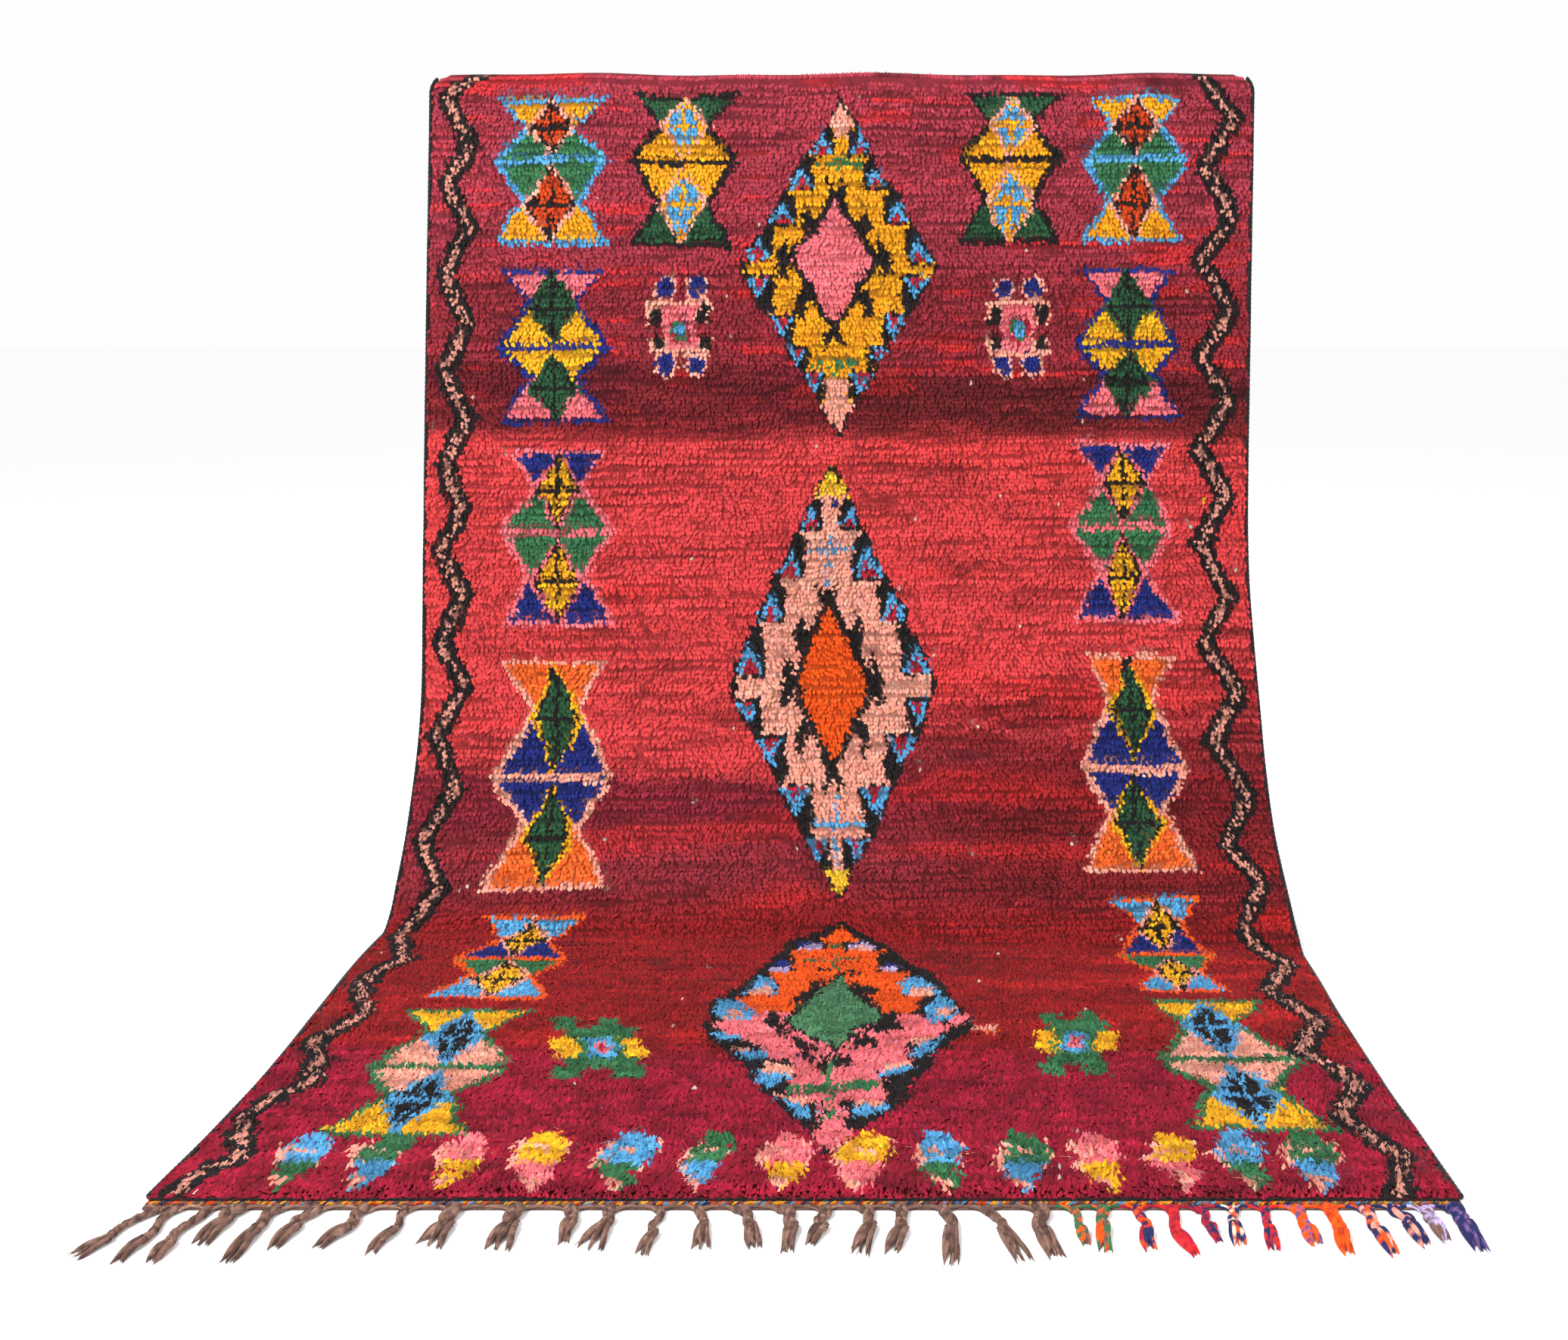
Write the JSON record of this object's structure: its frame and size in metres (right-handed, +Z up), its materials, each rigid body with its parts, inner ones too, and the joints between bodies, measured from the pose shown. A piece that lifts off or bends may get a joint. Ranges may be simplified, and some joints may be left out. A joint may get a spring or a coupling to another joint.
{
  "type": "moroccan rug",
  "caption": "Knotted wool pile rug with braided end tassels, hung at its top edge and sweeping forward to lie on the floor.",
  "frame": {"origin": "bottom centre of the bounding box, on the floor that the lower part of the rug lies on", "axes": "+X across the rug to the right as seen from its pile side, +Y away from the viewer towards the wall it hangs on, +Z up"},
  "size_m": [1.872, 1.5422, 1.7789],
  "materials": {
    "pile_wool": "matte hand-knotted wool pile, red ground with many-coloured motifs",
    "selvedge_yarn": "matte black overcast wool cord",
    "band_yarn": "matte twined yarns, black beside a yellow, orange and blue chain",
    "fringe_yarn": "matte braided wool, taupe brown with coloured braids at the right"
  },
  "bodies": {
    "root": {"rug_panel": "pile_wool", "selvedge_left": "selvedge_yarn", "selvedge_right": "selvedge_yarn", "end_band": "band_yarn", "fringe": "fringe_yarn"}
  },
  "joints": []
}
